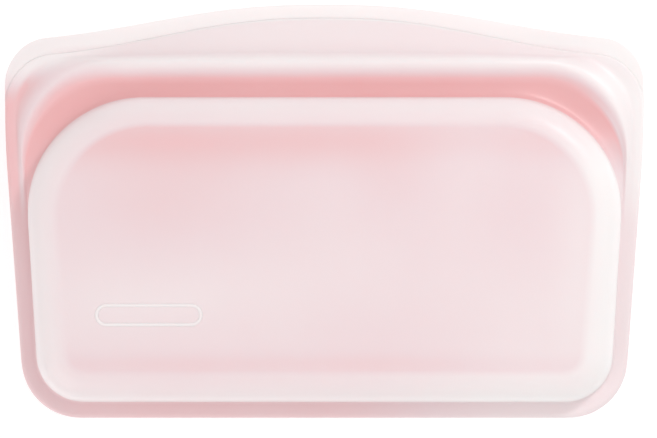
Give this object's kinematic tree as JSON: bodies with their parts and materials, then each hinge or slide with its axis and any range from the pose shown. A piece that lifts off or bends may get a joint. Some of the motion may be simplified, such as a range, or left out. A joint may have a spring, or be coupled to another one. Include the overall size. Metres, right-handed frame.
{
  "type": "reusable silicone bag",
  "caption": "Flat reusable food bag of soft pink silicone with a moulded pocket, fused rim and a pinch-shut mouth with curved lips.",
  "frame": {"origin": "under the middle of the bag, on the surface it lies on", "axes": "+X across the bag, +Y from the bottom seam to the mouth, +Z from the back wall up to the front wall"},
  "size_m": [0.1902, 0.1234, 0.0243],
  "materials": {
    "silicone": "soft translucent pale pink silicone, satin"
  },
  "bodies": {
    "pocket": {"front_wall": "silicone", "back_wall": "silicone", "bottom_seam": "silicone", "left_side_seam": "silicone", "right_side_seam": "silicone", "left_mouth_corner": "silicone", "right_mouth_corner": "silicone", "label_frame": "silicone"},
    "front_mouth": {"front_panel": "silicone", "front_closure_ridge": "silicone", "closure_bead": "silicone", "front_lip": "silicone"},
    "back_mouth": {"back_closure_ridge": "silicone", "channel_lower_jaw": "silicone", "channel_upper_jaw": "silicone", "back_lip": "silicone"}
  },
  "joints": [
    {"name": "front_mouth_open", "type": "hinge", "parent": "pocket", "child": "front_mouth", "pos_m": [0, -0.02365, 0.0234], "axis": [1, 0, 0], "range_deg": [0, 30], "stiffness_Nm_per_rad": 0.15},
    {"name": "back_mouth_open", "type": "hinge", "parent": "pocket", "child": "back_mouth", "pos_m": [0, 0.03515, 0.0088], "axis": [-1, 0, 0], "range_deg": [0, 18], "stiffness_Nm_per_rad": 0.03}
  ]
}
